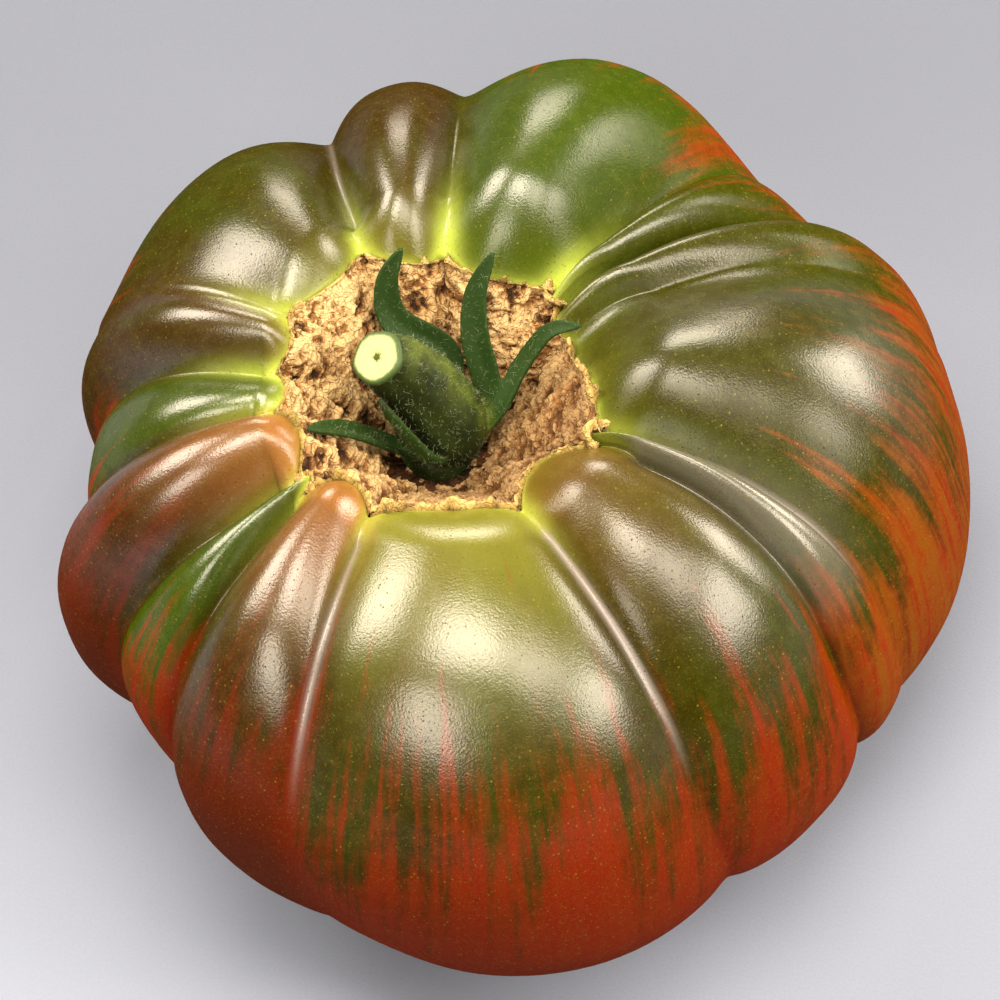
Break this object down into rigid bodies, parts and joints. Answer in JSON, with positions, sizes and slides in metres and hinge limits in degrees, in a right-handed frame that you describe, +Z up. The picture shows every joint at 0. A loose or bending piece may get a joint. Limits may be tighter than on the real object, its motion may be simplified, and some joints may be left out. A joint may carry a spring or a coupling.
{
  "type": "ribbed beefsteak tomato",
  "caption": "Ripe ribbed beefsteak tomato, olive-green over brick red, with a tan cork crust in its stem hollow and a cut green stem with curled sepals.",
  "frame": {"origin": "centre of the flat spot on the blossom end that the tomato rests on", "axes": "+Z up, towards the stem end; -Y is the side that faces the camera in the picture, and +X is to its right"},
  "size_m": [0.1092, 0.1205, 0.0681],
  "materials": {
    "skin": "smooth waxy skin, olive green at the shoulders running in streaks into brick red below, with fine golden speckles",
    "cork": "dry, flaky tan crust, cracked and wrinkled",
    "green": "dull dark green with fine pale hairs, and a pale yellow-green cut face"
  },
  "bodies": {
    "root": {"fruit": "skin", "cork_scar": "cork", "stem_and_sepals": "green"}
  },
  "joints": []
}
